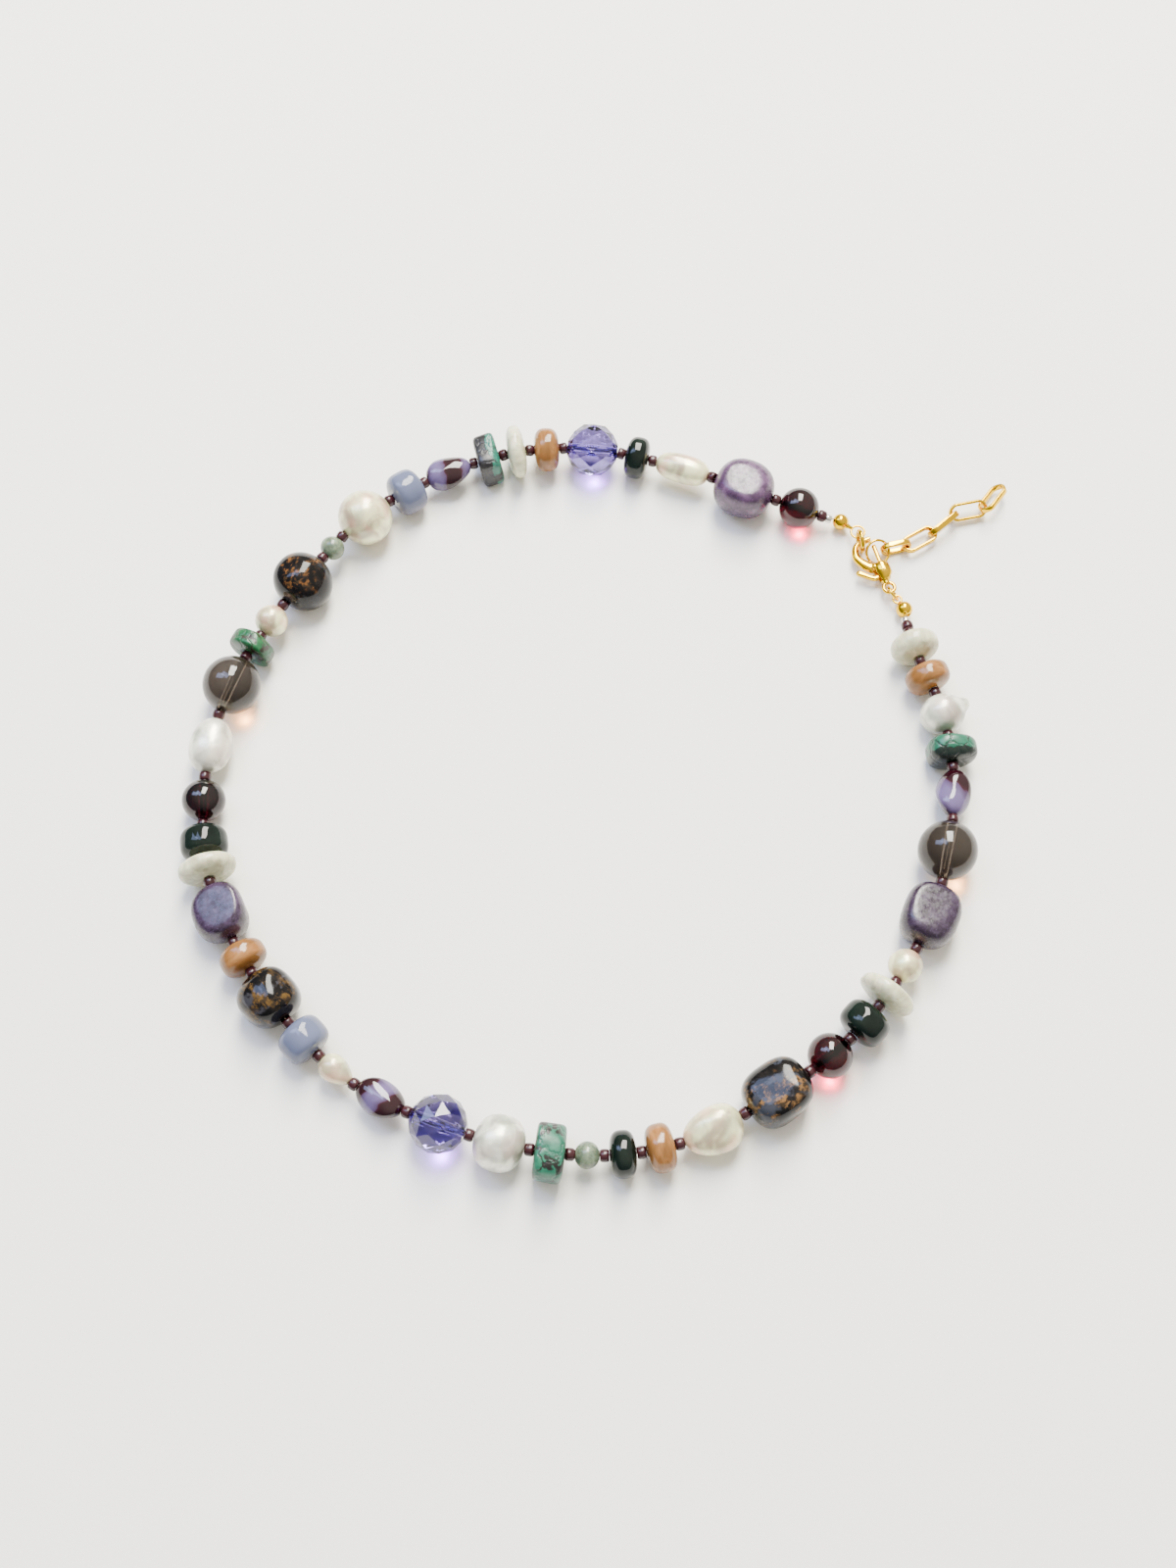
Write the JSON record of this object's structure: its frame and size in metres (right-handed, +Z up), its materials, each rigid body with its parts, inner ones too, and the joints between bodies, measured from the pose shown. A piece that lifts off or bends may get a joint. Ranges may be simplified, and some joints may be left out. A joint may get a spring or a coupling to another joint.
{
  "type": "beaded necklace",
  "caption": "Beaded necklace of gemstones, glass and pearls with dark seed beads between, a gold lobster clasp and a short extender chain, lying as a loop.",
  "frame": {"origin": "on the surface the necklace lies on, under the middle of its bounding box", "axes": "+Z up from the surface, +Y away from the viewer of the picture, +X to their right"},
  "size_m": [0.1488, 0.1412, 0.0103],
  "materials": {
    "garnet": "polished",
    "lepidolite": "polished",
    "pearl": "lustrous",
    "dark_green_glass": "polished",
    "violet_crystal": "faceted",
    "orange_stone": "polished",
    "white_stone": "satin",
    "turquoise": "polished",
    "twist_glass": "polished",
    "blue_glass": "polished",
    "jade": "satin",
    "bronzite": "polished",
    "smoky_quartz": "polished",
    "thread": "matt",
    "gold": "polished"
  },
  "bodies": {
    "necklace": {"bead_garnet_1": "garnet", "bead_lepidolite_1": "lepidolite", "bead_pearl_rice": "pearl", "bead_green_rondelle_1": "dark_green_glass", "bead_crystal_1": "violet_crystal", "bead_orange_rondelle_1": "orange_stone", "bead_white_disc_1": "white_stone", "bead_turquoise_1": "turquoise", "bead_twist_glass_1": "twist_glass", "bead_blue_barrel_1": "blue_glass", "bead_pearl_large": "pearl", "bead_jade_1": "jade", "bead_bronzite_1": "bronzite", "bead_pearl_small_1": "pearl", "bead_turquoise_2": "turquoise", "bead_smoky_quartz_1": "smoky_quartz", "bead_pearl_baroque_1": "pearl", "bead_garnet_2": "garnet", "bead_green_barrel_1": "dark_green_glass", "bead_white_disc_2": "white_stone", "bead_lepidolite_2": "lepidolite", "bead_orange_rondelle_2": "orange_stone", "bead_bronzite_2": "bronzite", "bead_blue_barrel_2": "blue_glass", "bead_pearl_drop": "pearl", "bead_twist_glass_2": "twist_glass", "bead_crystal_2": "violet_crystal", "bead_pearl_white": "pearl", "bead_turquoise_3": "turquoise", "bead_jade_2": "jade", "bead_green_rondelle_2": "dark_green_glass", "bead_orange_rondelle_3": "orange_stone", "bead_pearl_baroque_2": "pearl", "bead_bronzite_3": "bronzite", "bead_garnet_3": "garnet", "bead_green_barrel_2": "dark_green_glass", "bead_white_disc_3": "white_stone", "bead_pearl_small_2": "pearl", "bead_lepidolite_3": "lepidolite", "bead_smoky_quartz_2": "smoky_quartz", "bead_twist_glass_3": "twist_glass", "bead_turquoise_4": "turquoise", "bead_pearl_bump": "pearl", "bead_orange_rondelle_4": "orange_stone", "bead_white_rondelle": "white_stone", "thread": "thread", "clasp_body": "gold", "jump_ring_hook": "gold", "jump_ring_chain": "gold", "jump_ring_eye": "gold", "ball_tip_first": "gold", "ball_tip_second": "gold", "chain_link_1": "gold", "chain_link_2": "gold", "chain_link_3": "gold", "chain_link_4": "gold", "chain_link_5": "gold"},
    "lever": {"clasp_lever": "gold"}
  },
  "joints": [
    {"name": "clasp_lever_hinge", "type": "hinge", "parent": "necklace", "child": "lever", "pos_m": [0.05035, 0.04138, 0.00194], "axis": [0, 0, 1], "range_deg": [0, 10], "stiffness_Nm_per_rad": 0.002}
  ]
}
